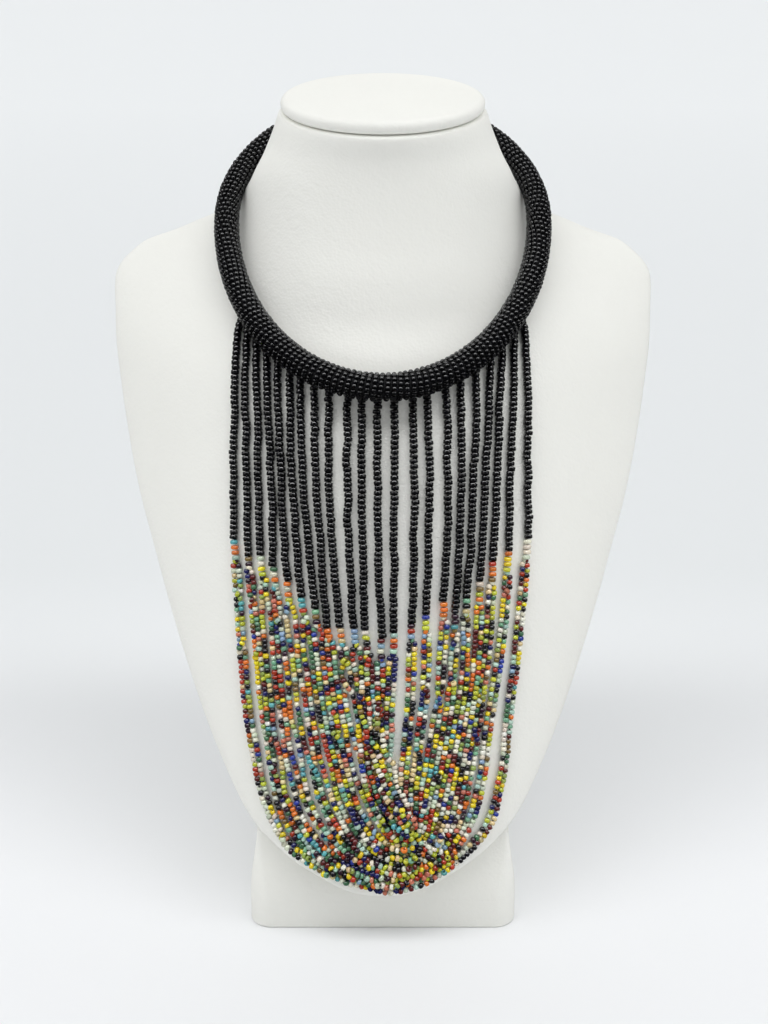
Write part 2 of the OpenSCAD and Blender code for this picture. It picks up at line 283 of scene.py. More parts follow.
def node_helpers(tree):
    """Two helpers for a node tree: one sets or links a node's inputs, one adds a node so fed."""

    def feed(node, inputs):
        for key, value in inputs.items():
            if isinstance(value, bpy.types.NodeSocket):
                tree.links.new(value, node.inputs[key])
            else:
                node.inputs[key].default_value = value

    def add(kind, inputs, **settings):
        node = tree.nodes.new(kind)
        for key, value in settings.items():
            setattr(node, key, value)
        feed(node, inputs)
        return node

    return feed, add


def new_finish(name):
    """A new material, a helper that feeds its shader, one that adds a node, and the place."""
    material = bpy.data.materials.new(name)
    material.use_nodes = True
    feed, add = node_helpers(material.node_tree)

    def finish(inputs):
        feed(material.node_tree.nodes["Principled BSDF"], inputs)

    return material, finish, add, add("ShaderNodeTexCoord", {}).outputs["Object"]


def noise_at(add, place, scale, detail=2, distortion=0):
    """A noise of so many waves in a metre."""
    return add("ShaderNodeTexNoise", {"Vector": place, "Scale": scale, "Detail": detail,
                                      "Distortion": distortion})


def relief(add, height, strength, depth, **under):
    """Bumps from a height, so many metres deep, over others where they are given."""
    bump = add("ShaderNodeBump", {"Height": height, "Strength": strength, "Distance": depth,
                                  **under})
    return bump.outputs["Normal"]


def noise_span(add, noise, low, high):
    """A value from low to high, over the middle of what a noise gives."""
    span = add("ShaderNodeMapRange", {"Value": noise.outputs["Fac"], "From Min": 0.3,
                                      "From Max": 0.7, "To Min": low, "To Max": high})
    return span.outputs["Result"]


def clouded(add, noise, low, colour):
    """A colour that a noise darkens in patches, to a low share of itself at most."""
    dye = add("ShaderNodeMix", {"Factor": 1.0, 6: colour, 7: noise_span(add, noise, low, 1.0)},
              data_type="RGBA", blend_type="MULTIPLY")
    return dye.outputs[2]


def leatherette(name, colour):
    """Matt white leatherette: a fine pebbled grain, faint creases and hardly any gloss."""
    material, finish, add, place = new_finish(name)
    cloud = noise_at(add, place, 14, 3)
    pebble = add("ShaderNodeTexVoronoi", {"Vector": place, "Scale": 900})
    crease = noise_at(add, place, 260, 4, 0.6)
    grain = relief(add, pebble.outputs["Distance"], 0.6, 0.00012)
    finish({"Base Color": clouded(add, cloud, 0.975, (*colour, 1)),
            "Roughness": noise_span(add, crease, 0.55, 0.68),
            "Normal": relief(add, crease.outputs["Fac"], 0.7, 0.0003, Normal=grain),
            "Specular IOR Level": 0.3})
    return material


white_cover = leatherette("white_leatherette", plain_colour(242, 242, 236))

bust_levels = np.interp(np.arange((len(FORM) - 1) * BUST_STEPS + 1) / BUST_STEPS,
                        np.arange(len(FORM)), FORM[:, LEVEL])
bust = closed_skin("bust_cover", bust_points(bust_levels))
fit_piece(bust, white_cover, "bust_cover", "bust_body")

# The neck's cap is a round board with a soft pad on it, covered like the bust and pushed onto
# the top of the neck. A narrow dark joint shows below its rim.

CAP_R = 43
CAP_T = 5.5
CAP_ROUND = 2.6
CAP_CROWN = 0.9
CAP_GAP = 0.3
CAP_SIDES = 128
RIM_STEPS = 10
# The underside starts at this share of the rim's radius. The rim's rounding ends at RIM_STOP
# degrees, just before it is level, and the pad's crown goes on from there.
UNDER_FROM = 0.5
RIM_STOP = 86
CROWN_SHARES = np.linspace(0.97, 0.06, 14)


def rim_arc(radius, height, start, stop):
    """Places (outward, upward) of a rounding about a middle, from one angle to another."""
    angle = np.radians(np.linspace(start, stop, RIM_STEPS))
    return [(radius + CAP_ROUND * math.cos(a), height + CAP_ROUND * math.sin(a)) for a in angle]


def turned(profile, sides):
    """Points of a turned shape about the upright axis, from (outward, upward) places."""
    angle = -np.arange(sides) * 2 * math.pi / sides
    out, up = np.array(profile).T[:, :, None]
    return np.stack([out * np.cos(angle), out * np.sin(angle), up + 0 * angle], -1)


cap_edge = CAP_R - CAP_ROUND
cap_profile = [(cap_edge * UNDER_FROM, 0)]
cap_profile += rim_arc(cap_edge, CAP_ROUND, -90, 0)
cap_profile += rim_arc(cap_edge, CAP_T - CAP_ROUND, 0, RIM_STOP)
for share in CROWN_SHARES:
    cap_profile.append((cap_edge * share, CAP_T + CAP_CROWN * (1 - share ** 2)))
cap_x, cap_y, cap_z = np.moveaxis(turned(cap_profile, CAP_SIDES), -1, 0)
tilt_y = cap_y * math.cos(CAP_SLOPE) - cap_z * math.sin(CAP_SLOPE)
tilt_z = cap_y * math.sin(CAP_SLOPE) + cap_z * math.cos(CAP_SLOPE)
cap_foot_z = NECK_TOP + CAP_GAP / math.cos(CAP_SLOPE)
cap = closed_skin("neck_cap_pad", np.stack([cap_x, CAP_Y + tilt_y, cap_foot_z + tilt_z], -1))
fit_piece(cap, white_cover, "bust_cover", "neck_cap")

# The foot is a flat box of board under the same cover, with round upright corners. Its cover is
# turned under at the floor and glued, so both of its edges are soft.

FOOT_W = 112
FOOT_L = 122
FOOT_H = 18
FOOT_FRONT = -73
FOOT_CORNER = 9
FOOT_TOP_ROUND = 6
FOOT_TOP_STEPS = 12
FOOT_TOP_FLAT = 1.5
FOOT_FLOOR_ROUND = 0.9
FOOT_FLOOR_STEPS = 6
CORNER_STEPS = 12


def box_outline(half_w, front, back, radius, z):
    """A level outline with round corners, clockwise from above."""
    points = []
    corners = [(1, front + radius), (-1, front + radius), (-1, back - radius), (1, back - radius)]
    for turn, (side, corner_y) in enumerate(corners):
        for angle in np.linspace(0, 90, CORNER_STEPS) + 90 * turn:
            a = math.radians(-angle)
            points.append((side * (half_w - radius) + radius * math.cos(a),
                           corner_y + radius * math.sin(a), z))
    return points


foot_profile = []
for angle in np.radians(np.linspace(-90, 0, FOOT_FLOOR_STEPS)):
    foot_profile.append((FOOT_FLOOR_ROUND * (1 - math.cos(angle)),
                         FOOT_FLOOR_ROUND * (1 + math.sin(angle))))
for angle in np.radians(np.linspace(0, 90, FOOT_TOP_STEPS)):
    foot_profile.append((FOOT_TOP_ROUND * (1 - math.cos(angle)),
                         FOOT_H - FOOT_TOP_ROUND * (1 - math.sin(angle))))
foot_profile.append((FOOT_TOP_ROUND + FOOT_TOP_FLAT, FOOT_H))
foot_rows = []
for inset, height in foot_profile:
    foot_rows.append(box_outline(FOOT_W / 2 - inset, FOOT_FRONT + inset,
                                 FOOT_FRONT + FOOT_L - inset, FOOT_CORNER - inset, height))
foot = closed_skin("foot_cover", foot_rows)
fit_piece(foot, white_cover, "bust_cover", "bust_foot")

# The block between the foot and the leaning back is a wooden wedge under the same cover. It
# stands on the foot, and the bust's back is screwed to its slope.

BLOCK_W = 105.6
BLOCK_TOP = 120
BLOCK_FRONT = -64.7
BLOCK_BACK = 23.3
BLOCK_TOP_BACK = 13.3
BLOCK_GAP = 0.3
BLOCK_EDGE = 1.6
BLOCK_EDGE_STEPS = 4
# The block's slope follows the bust's back between these two rows of FORM.
SLOPE_ROWS = (6, 13)

slope_low, slope_high = FORM[SLOPE_ROWS[0]], FORM[SLOPE_ROWS[1]]
back_rise = (slope_high[BACK] - slope_low[BACK]) / (slope_high[LEVEL] - slope_low[LEVEL])
block_low = FOOT_H + BLOCK_GAP
front_z = slope_low[LEVEL] + (BLOCK_FRONT - slope_low[BACK] - 2 * BLOCK_GAP) / back_rise
top_y = slope_low[BACK] + (BLOCK_TOP - slope_low[LEVEL]) * back_rise + 2 * BLOCK_GAP
block_side = [(BLOCK_FRONT, block_low), (BLOCK_FRONT, front_z), (top_y, BLOCK_TOP),
              (BLOCK_TOP_BACK, BLOCK_TOP), (BLOCK_BACK, block_low)]
block_rows = [[(x, y, z) for y, z in block_side] for x in (-BLOCK_W / 2, BLOCK_W / 2)]
block = closed_skin("block_cover", block_rows)
edge_round = block.modifiers.new("soft_edges", "BEVEL")
edge_round.width = BLOCK_EDGE * MM
edge_round.segments = BLOCK_EDGE_STEPS
fit_piece(block, white_cover, "base_block", "bust_stem")

# The cover of the block and the foot is drawn over both in one, so it goes from the one to the
# other in a soft sweep. At its two ends the sweep lies just inside the cover that it meets.

FOLD_LOW = 12
FOLD_HIGH = 42
FOLD_BACK = 4
FOLD_ROWS = 24
FOLD_INTO = 0.1

fold_rows = []
for share in np.linspace(0, 1, FOLD_ROWS):
    out = 1 - share * share * (3 - 2 * share)
    swell = FOLD_INTO * (3 * math.sin(math.pi * share) - 1)
    level = FOLD_LOW + (FOLD_HIGH - FOLD_LOW) * share
    # The block's back leans forward.
    leaning = np.interp(level, [block_low, BLOCK_TOP], [BLOCK_BACK, BLOCK_TOP_BACK])
    fold_rows.append(box_outline(
        BLOCK_W / 2 + (FOOT_W - BLOCK_W) / 2 * out + swell,
        BLOCK_FRONT + (FOOT_FRONT - BLOCK_FRONT) * out - swell,
        leaning + FOLD_BACK * out + swell,
        BLOCK_EDGE + (FOOT_CORNER - BLOCK_EDGE) * out, level))
fold = closed_skin("block_foot_fold", fold_rows)
fit_piece(fold, white_cover, "base_block", "bust_stem")

# The collar is a stiff rope in black cloth, wound from end to end with one long string of black
# glass beads. Each turn lies against the last, square to the rope, and is stitched down.

COLLAR_HALF_W = 66.9
COLLAR_FRONT = 92
COLLAR_BACK = 65.8
COLLAR_SLOPE = math.radians(39)
RING_Y = 36.9
RING_Z = 283.1
RING_UP = np.array([0, -math.sin(COLLAR_SLOPE), math.cos(COLLAR_SLOPE)])
RING_STEPS = 3000
ROLL_R_FRONT = 6
ROLL_R_BACK = 5
CLASP_L = 14
# The roll ends this far from the ends of the clasp.
CLASP_GAP = 0.6
WRAP_PITCH = 2.5
COLLAR_BEAD_W = 2.32
COLLAR_BEAD_L = 1.8
COLLAR_BEAD_PITCH = 1.88
COLLAR_BEAD_SIDES = 10
# A bead's section, as (along the hole, out from it) in shares of its half length and radius.
COLLAR_SECTION = [(-0.95, 0.45), (-0.8, 0.86), (0, 1.0), (0.8, 0.86), (0.95, 0.45)]
# The stitches hold each turn only here and there, this many radians apart, so the beads wander
# along the rope. Each bead also slips, lifts and leans a little by itself.
STITCH_TURN = 1.1
WANDER = 0.07
TURN_SLIP = 0.02
BEAD_SLIP = 0.05
BEAD_LEAN = 0.08
BEAD_TILT = 0.06
BEAD_VARY = 0.05
# Angle from a bead at which the rope's own course is read.
A_LITTLE = 0.01

chance = np.random.default_rng(11)


def ring_point(angle):
    """The collar's middle line, by the angle from the front."""
    cosine = np.cos(angle)
    out = cosine * np.where(cosine > 0, COLLAR_FRONT, COLLAR_BACK)
    return np.stack([COLLAR_HALF_W * np.sin(angle), RING_Y - out * math.cos(COLLAR_SLOPE),
                     RING_Z - out * math.sin(COLLAR_SLOPE)], -1)


def roll_r(angle):
    return ROLL_R_BACK + (ROLL_R_FRONT - ROLL_R_BACK) * (1 + np.cos(angle)) / 2


def unit(vectors):
    return vectors / np.linalg.norm(vectors, axis=-1, keepdims=True)


def length_along(way):
    return np.concatenate([[0], np.cumsum(np.linalg.norm(np.diff(way, axis=0), axis=1))])


def string_of_beads(centre, axis, length, width, section, sides):
    """Points and faces of many beads at once, each turned by chance about its own hole."""
    count = len(centre)
    axis = unit(axis)
    aside = unit(np.cross(axis, chance.normal(size=(count, 3))))
    across = np.cross(axis, aside)
    section = np.array(section)
    angle = np.arange(sides) * 2 * math.pi / sides
    along = np.repeat(section[:, 0], sides)
    out_a = np.outer(section[:, 1], np.cos(angle)).ravel()
    out_b = np.outer(section[:, 1], np.sin(angle)).ravel()
    half_l = np.broadcast_to(np.asarray(length) / 2, count)[:, None, None]
    half_w = np.broadcast_to(np.asarray(width) / 2, count)[:, None, None]
    points = (centre[:, None] + axis[:, None] * along[:, None] * half_l
              + (aside[:, None] * out_a[:, None] + across[:, None] * out_b[:, None]) * half_w)
    rows = len(section)
    row, place = np.meshgrid(np.arange(rows), np.arange(sides), indexing="ij")
    here = row * sides + place
    beside = row * sides + (place + 1) % sides
    next_here = (row + 1) % rows * sides + place
    next_beside = (row + 1) % rows * sides + (place + 1) % sides
    faces = np.stack([here, beside, next_beside, next_here], -1).reshape(-1, 4)
    faces = faces + (np.arange(count) * rows * sides)[:, None, None]
    return points.reshape(-1, 3), faces.reshape(-1, 4)


def bead_piece(name, centre, axis, length, width, section, sides, shades):
    """Beads as one piece. Each has a colour of its own, which the glass finish reads."""
    points, faces = string_of_beads(centre, axis, length, width, section, sides)
    piece = make_piece(name, points, faces)
    layer = piece.data.color_attributes.new("bead_colour", "FLOAT_COLOR", "POINT")
    colours = np.concatenate([shades(len(centre)), np.ones((len(centre), 1))], 1)
    colours = np.repeat(colours, len(section) * sides, 0).astype(np.float32)
    layer.data.foreach_set("color", colours.ravel())
    return piece


def bead_glass(name, smooth, rough, shine):
    """Pressed glass in each bead's own colour, a little clouded, with small dull patches."""
    material, finish, add, place = new_finish(name)
    own = add("ShaderNodeAttribute", {}, attribute_name="bead_colour")
    cloud = noise_at(add, place, 900)
    finish({"Base Color": clouded(add, cloud, 0.86, own.outputs["Color"]),
            "Roughness": noise_span(add, cloud, smooth, rough),
            "Specular IOR Level": shine})
    return material


def black_shades(count):
    """Nearly black glass, some of it a touch bluer or paler."""
    return plain_colour(4, 4, 7) * chance.uniform(0.6, 1.5, (count, 1))


black_glass = bead_glass("black_glass", 0.04, 0.12, 0.7)

reach = math.pi - math.asin((CLASP_L / 2 + CLASP_GAP) / COLLAR_HALF_W)
ring_angles = np.linspace(-reach, reach, RING_STEPS)
ring_length = length_along(ring_point(ring_angles))

turn_at = []
length_at = []
turn = 0.0
length = COLLAR_BEAD_W / 2
while length < ring_length[-1] - COLLAR_BEAD_W / 2:
    turn_at.append(turn)
    length_at.append(length)
    here_r = roll_r(np.interp(length, ring_length, ring_angles)) - COLLAR_BEAD_W / 2
    turn += COLLAR_BEAD_PITCH / here_r
    length += WRAP_PITCH * COLLAR_BEAD_PITCH / here_r / (2 * math.pi)
turn_at = np.array(turn_at)
length_at = np.array(length_at)
wraps = len(turn_at)
stitches = np.arange(0, turn_at[-1] + 2, STITCH_TURN)
wander = np.interp(turn_at, stitches, chance.normal(0, WANDER, len(stitches)))
turn_at = turn_at + chance.normal(0, TURN_SLIP, wraps)
length_at = length_at + wander + chance.normal(0, BEAD_SLIP, wraps)
bead_angle = np.interp(length_at, ring_length, ring_angles)
ring_dir = unit(ring_point(bead_angle + A_LITTLE) - ring_point(bead_angle - A_LITTLE))
outward = unit(np.cross(ring_dir, RING_UP))
upward = np.cross(outward, ring_dir)
radial = np.cos(turn_at)[:, None] * outward + np.sin(turn_at)[:, None] * upward
round_the_rope = np.cos(turn_at)[:, None] * upward - np.sin(turn_at)[:, None] * outward
bead_r = roll_r(bead_angle) - COLLAR_BEAD_W / 2 + chance.normal(0, BEAD_SLIP, wraps)
wrap_centre = ring_point(bead_angle) + bead_r[:, None] * radial
wrap_axis = round_the_rope + BEAD_LEAN * ring_dir + chance.normal(0, BEAD_TILT, (wraps, 3))
half = wraps // 2
for name, part in (("collar_beads_left", slice(0, half)),
                   ("collar_beads_right", slice(half, wraps))):
    centre = wrap_centre[part]
    piece = bead_piece(name, centre, wrap_axis[part],
                       chance.normal(COLLAR_BEAD_L, BEAD_VARY, len(centre)),
                       chance.normal(COLLAR_BEAD_W, BEAD_VARY, len(centre)),
                       COLLAR_SECTION, COLLAR_BEAD_SIDES, black_shades)
    fit_piece(piece, black_glass, "collar_beads", "collar")

# The rope inside is cord in a sleeve of black cloth. The beads are stitched to it, and it shows
# only as darkness between them and at the two ends.

ROPE_SIDES = 20
ROPE_STEPS = 160
# The cloth lies this share of a bead's width below the top of the beads.
ROPE_BELOW = 0.56


def thin_tube(way, radius, sides):
    """Rows of points of a tube along a way."""
    way_dir = unit(np.gradient(way, axis=0))
    aside = unit(np.cross(way_dir, [0.03, 0.05, 1.0]))
    across = np.cross(aside, way_dir)
    angle = np.arange(sides) * 2 * math.pi / sides
    radius = np.broadcast_to(radius, len(way))[:, None, None]
    return way[:, None] + radius * (aside[:, None] * np.cos(angle)[:, None]
                                    + across[:, None] * np.sin(angle)[:, None])


def thread_cotton(name, colour):
    """Twisted thread or cloth: fine ribs across it and no gloss."""
    material, finish, add, place = new_finish(name)
    rib = noise_at(add, place, 2600)
    finish({"Base Color": clouded(add, rib, 0.7, (*colour, 1)),
            "Normal": relief(add, rib.outputs["Fac"], 0.6, 0.0001),
            "Roughness": 0.85})
    return material


rope_angles = np.linspace(-reach, reach, ROPE_STEPS)
rope_r = roll_r(rope_angles) - COLLAR_BEAD_W * ROPE_BELOW
rope = closed_skin("collar_rope", thin_tube(ring_point(rope_angles), rope_r, ROPE_SIDES))
black_cloth = thread_cotton("black_cloth", plain_colour(20, 20, 24))
fit_piece(rope, black_cloth, "collar_beads", "collar")

# The clasp is a small turned barrel of plated brass at the nape. Its two halves screw together,
# and each is crimped on one end of the rope.

# One half's outline, from its end to the joint in the middle, as (radius, place along it).
CLASP_HALF = [(1.2, -7.0), (2.9, -7.0), (3.0, -6.8), (3.0, -5.2), (3.4, -5.0), (3.9, -4.7),
              (4.0, -4.4), (4.0, -3.5), (3.7, -3.2), (3.7, -2.8), (3.95, -2.5), (3.95, -0.6),
              (3.55, -0.3)]
CLASP_SIDES = 48


def plated_brass(name):
    """Dull nickel plate with fine turning marks and a few darker patches."""
    material, finish, add, place = new_finish(name)
    marks = noise_at(add, place, 1500)
    tone = add("ShaderNodeValToRGB", {"Fac": marks.outputs["Fac"]})
    tone.color_ramp.elements[0].color = (0.20, 0.20, 0.21, 1)
    tone.color_ramp.elements[1].color = (0.46, 0.46, 0.47, 1)
    dull = add("ShaderNodeMapRange", {"Value": marks.outputs["Fac"], "To Min": 0.25,
                                      "To Max": 0.5})
    finish({"Base Color": tone.outputs["Color"],
            "Roughness": dull.outputs["Result"],
            "Metallic": 1.0})
    return material


clasp_profile = CLASP_HALF + [(radius, -along) for radius, along in reversed(CLASP_HALF)]
# The turned barrel is laid on its side, along X.
clasp_rows = ring_point(math.pi) + turned(clasp_profile, CLASP_SIDES)[..., [2, 1, 0]] * [1, 1, -1]
clasp = closed_skin("barrel_clasp", clasp_rows)
fit_piece(clasp, plated_brass("nickel_plate"), "clasp_metal", "clasp")

# The upper fringe is 22 strings of black glass beads on waxed thread, knotted to the collar's
# lower edge. They hang side by side against the chest, a little crooked from bead to bead.

BLACK_D = 3
BLACK_BEAD_W = 3.45
BLACK_BEAD_L = 1.95
BLACK_PITCH = 2.02
BLACK_BEAD_SIDES = 12
BLACK_SECTION = [(-0.95, 0.4), (-0.92, 0.82), (-0.6, 1.0), (0.6, 1.0), (0.92, 0.82),
                 (0.95, 0.4)]
# A string leaves the collar so far off the chest, and then lies closer to it.
GAP = 0.3
ON_CHEST = 0.1
THREAD_R = 0.28
THREAD_SIDES = 4
THREAD_STEPS = 50
STRING_STEPS = 120
# Places of the first and the last bead, from the two ends of a string.
FIRST_BEAD = 0.4
LAST_BEAD = 0.2
# At its top, a string's middle stands this share of its width off the roll.
KNOT_OFF = 0.25
# A string sways in soft waves, whose length is in hundredths of it, and is held at its top.
SWAY_LENGTH = 9
SWAY = 0.18
HELD = 8
# The outermost strings come out of the collar sideways, and hang freely soon after.
OUTERMOST = 58
SIDEWAYS = 2.6
SIDEWAYS_FADE = 26
# Each bead sits a little high or low, aside and askew, and has a size of its own.
BLACK_SLIP = 0.03
BLACK_ASIDE = 0.11
BLACK_TILT = 0.07
BLACK_L_VARY = 0.06
BLACK_W_VARY = 0.08
# How far across each string is at its top, middle and end, and the level of its end.
BLACK = np.array([
    [-59, -60.5, -60.5, 161],
    [-55.5, -55.5, -54.5, 155.5],
    [-51.5, -50.5, -49.5, 156.5],
    [-47.3, -45.5, -44, 153],
    [-42.5, -41, -38.5, 148],
    [-37.5, -36, -32.5, 142.5],
    [-33, -31.5, -27, 138.5],
    [-27.5, -26, -22, 131.5],
    [-21.5, -21, -17, 132],
    [-14, -14, -11.5, 132],
    [-8.5, -8, -7, 131.5],
    [-2, -2, -0.5, 128.5],
    [4.5, 4.5, 4.5, 130.5],
    [12, 12.5, 11.5, 134],
    [17.5, 18.5, 17, 137],
    [25, 26, 24.5, 141.5],
    [31, 31.5, 29, 138.5],
    [37.5, 36.5, 33.5, 142],
    [43.5, 41.5, 39, 148],
    [48.5, 46.5, 44.5, 155],
    [54, 52, 51, 158],
    [58.5, 59, 59, 161.5],
])


def chest_fall(x, z):
    """How much the chest's depth grows in a millimetre upward."""
    return chest_depth(x, z + 0.5) - chest_depth(x, z - 0.5)


def chest_normal(x, z):
    """Direction square to the chest, out of it."""
    across = chest_depth(x + 0.5, z) - chest_depth(x - 0.5, z)
    return unit(np.stack([across, -np.ones_like(across), chest_fall(x, z)], -1))


def over_chest(x, z, height):
    """A point that stands a height clear of the chest."""
    return (np.stack([x, chest_depth(x, z), z], -1)
            + np.asarray(height)[..., None] * chest_normal(x, z))


def string_top(x):
    """Level at which a string leaves the collar's lower side."""
    angle = math.asin(x / COLLAR_HALF_W)
    middle = ring_point(np.array(angle))
    z = middle[2]
    along = unit(ring_point(np.array(angle + A_LITTLE)) - ring_point(np.array(angle - A_LITTLE)))
    down = np.array([0, -chest_fall(np.array(x), z), -1])
    down = down - (down @ along) * along
    to_chest = over_chest(np.array(x), z, BLACK_D / 2 + GAP) - middle
    to_chest = to_chest - (to_chest @ along) * along
    clear = roll_r(angle) + BLACK_D * KNOT_OFF
    under = (to_chest @ down) ** 2 - (down @ down) * (to_chest @ to_chest - clear ** 2)
    return z - (math.sqrt(under) - to_chest @ down) / (down @ down)


def soft_wave(places, wavelength, size):
    """A smooth wander by chance, read at places along a string."""
    knots = np.arange(places[0] - wavelength, places[-1] + 2 * wavelength, wavelength)
    values = chance.normal(0, size, len(knots))
    at = (places - knots[0]) / wavelength
    low = np.floor(at).astype(int)
    s = at - low
    s = s * s * (3 - 2 * s)
    return values[low] * (1 - s) + values[low + 1] * s


def walk(way, places):
    """Points of a way at given lengths along it."""
    run = length_along(way)
    return np.stack([np.interp(places, run, way[:, axis]) for axis in range(way.shape[1])], -1)


def tilt_by_chance(axis, size):
    return axis + chance.normal(0, size, axis.shape)


def thread_piece(name, ways, material, slot, *nodes):
    """The threads that the beads are strung on, as one piece."""
    all_points = []
    all_faces = []
    used = 0
    for way in ways:
        rows = thin_tube(way, THREAD_R, THREAD_SIDES)
        all_points.append(rows.reshape(-1, 3))
        all_faces.append(skin_faces(len(way), THREAD_SIDES) + used)
        used += len(way) * THREAD_SIDES
    piece = make_piece(name, np.concatenate(all_points), np.concatenate(all_faces))
    fit_piece(piece, material, slot, *nodes)


string_centres = []
string_axes = []
string_threads = []
for top_x, mid_x, end_x, end_z in BLACK:
    s = np.linspace(0, 1, STRING_STEPS)
    x = top_x * (1 - s) * (1 - 2 * s) + mid_x * 4 * s * (1 - s) + end_x * s * (2 * s - 1)
    z = string_top(top_x) * (1 - s) + end_z * s
    if abs(top_x) > OUTERMOST:
        x = x - np.sign(x) * SIDEWAYS * np.exp(-(s * SIDEWAYS_FADE) ** 1.5)
    x = x + soft_wave(s * 100, SWAY_LENGTH, SWAY) * np.minimum(s * HELD, 1)
    way = over_chest(x, z, np.full(len(x), BLACK_D / 2 + ON_CHEST))
    total = length_along(way)[-1]
    places = np.linspace(FIRST_BEAD, total - LAST_BEAD, int(round(total / BLACK_PITCH)))
    places = places + chance.normal(0, BLACK_SLIP, len(places))
    centre = walk(way, places)
    centre[:, 0] += chance.normal(0, BLACK_ASIDE, len(places))
    string_centres.append(centre)
    string_axes.append(tilt_by_chance(unit(np.gradient(centre, axis=0)), BLACK_TILT))
    string_threads.append(walk(way, np.linspace(0, total, THREAD_STEPS)))
centre = np.concatenate(string_centres)
black_strings = bead_piece("black_strings", centre, np.concatenate(string_axes),
                           chance.normal(BLACK_BEAD_L, BLACK_L_VARY, len(centre)),
                           chance.normal(BLACK_BEAD_W, BLACK_W_VARY, len(centre)),
                           BLACK_SECTION, BLACK_BEAD_SIDES, black_shades)
black_nodes = ["black_string_%d" % (i + 1) for i in range(len(BLACK))]
fit_piece(black_strings, black_glass, "black_beads", *black_nodes)
thread_piece("black_threads", string_threads, black_cloth, "black_beads", *black_nodes)

# The lower fringe is 22 thinner threads of mixed coloured beads, two from each black string on
# the left, which hang as deep loops and go up to the black string that mirrors it on the right.
# The first few beads below the black ones are as large as those, and hold both threads.

PAIRS = 11
COLOUR_D = 2.5
COLOUR_BEAD_L = 1.9
COLOUR_PITCH = 2.0
COLOUR_BEAD_SIDES = 12
COLOUR_SECTION = [(-0.94, 0.4), (-0.78, 0.84), (0, 1.0), (0.78, 0.84), (0.94, 0.4)]
# Half of the space from one thread of a pair to the other, and the same where the inner pairs
# spread out as they come down on the left.
PAIR_HALF = 0.92
LEFT_HALF = 1.9
LEFT_UNTIL = 0.55
LEFT_FADE = 8
FIRST_SPREAD_PAIR = 2

# Routes of five of the pairs, counted from the widest, by five places (across, up): three down
# the left leg, the slant to the lowest place and the lowest place. The others lie between them.
ROUTED = [1, 2, 5, 8, 11]
ROUTES = np.array([
    [(-52, 78), (-47.5, 61), (-39, 46), (-21, 35), (2, 31)],
    [(-46, 78), (-42, 61), (-32, 45.5), (-14, 35), (4, 32.5)],
    [(-28.5, 80), (-23, 60.5), (-13.5, 46), (-4, 39.5), (9, 37)],
    [(-13.5, 81), (-7, 60.5), (1, 49.5), (5.5, 46), (11, 44)],
    [(0, 83), (4.5, 70), (8, 61), (10, 56.5), (12, 54)],
])
# The right legs of all the pairs, from the widest: how far across each is at four levels.
RIGHT_LEVELS = [50, 68, 88, 110]
RIGHT_LEGS = np.array([
    [42, 48.5, 50.5, 53.5],
    [33, 39.5, 43, 46],
    [28, 34, 37, 40.5],
    [23.5, 29, 33, 37],
    [20, 25, 30, 33],
    [16, 21, 25.2, 28],
    [12.5, 16.5, 20, 22.5],
    [10.5, 12, 14.5, 16.5],
    [9, 7, 9, 10.5],
    [9, 2.5, 2.5, 3.5],
    [9, 0, -2, -1],
])

# The loops start this far below the black beads, and each is laid a little by chance.
BELOW_BLACK = 0.9
ABOVE_LOWEST = 3
LAID = 0.25
STEPS_A_PLACE = 60
STEPS_A_MM = 3
FIRST_SINGLE = 0.8
SINGLE_ASIDE = 0.12
SINGLE_TILT = 0.08
SINGLE_AXIS = [0, 0.33, 1.0]
SINGLE_SMALLER = 0.1
# The two threads of a pair twist about each other and part within a short way of the beads
# that hold both. The pair drifts, and each of its threads sways.
TWIST_LENGTH = 24
TWIST = 0.22
PARTING = 4
PARTED_LEAST = 0.15
DRIFT_LENGTH = 45
DRIFT = 0.2
LOOP_SWAY_LENGTH = 12
LOOP_SWAY = 0.15
# Toward the bottom, each pair lies a little over the one that is wider.
LOW_FROM = 110
LOW_FULL = 60
LOW_STEP = 0.35

# Glass colours as seen, and how many parts of each are in the mix.
GLASS = [
    ((240, 232, 212), 13),
    ((204, 212, 190), 9),
    ((222, 200, 148), 4),
    ((22, 22, 28), 12),
    ((50, 28, 44), 5),
    ((236, 208, 42), 9),
    ((192, 198, 62), 9),
    ((148, 168, 84), 5),
    ((218, 116, 44), 7),
    ((176, 60, 40), 8),
    ((198, 120, 98), 4),
    ((94, 34, 34), 6),
    ((32, 36, 94), 7),
    ((46, 64, 156), 2),
    ((92, 168, 172), 4),
    ((118, 168, 136), 6),
    ((174, 204, 188), 5),
    ((138, 168, 194), 3),
    ((70, 112, 80), 4),
    ((122, 100, 56), 3),
]
SAME_AGAIN = 0.10
RUN_STARTS = 0.02
BRIGHTEST = 0.9


def smooth_way(corners, steps):
    """A smooth flat path through places, which turns evenly at each."""
    ahead = np.diff(corners, axis=0)
    size = np.linalg.norm(ahead, axis=1)
    before = np.concatenate([ahead[:1], ahead])
    after = np.concatenate([ahead, ahead[-1:]])
    size_before = np.concatenate([size[:1], size])[:, None]
    size_after = np.concatenate([size, size[-1:]])[:, None]
    course = unit(before / size_before * size_after + after / size_after * size_before)
    s = np.linspace(0, 1, steps, endpoint=False)[:, None]
    parts = []
    for i in range(len(size)):
        parts.append(corners[i] * (1 + 2 * s) * (1 - s) ** 2
                     + course[i] * size[i] * s * (1 - s) ** 2
                     + corners[i + 1] * s * s * (3 - 2 * s)
                     - course[i + 1] * size[i] * s * s * (1 - s))
    return np.concatenate([*parts, corners[-1:]])


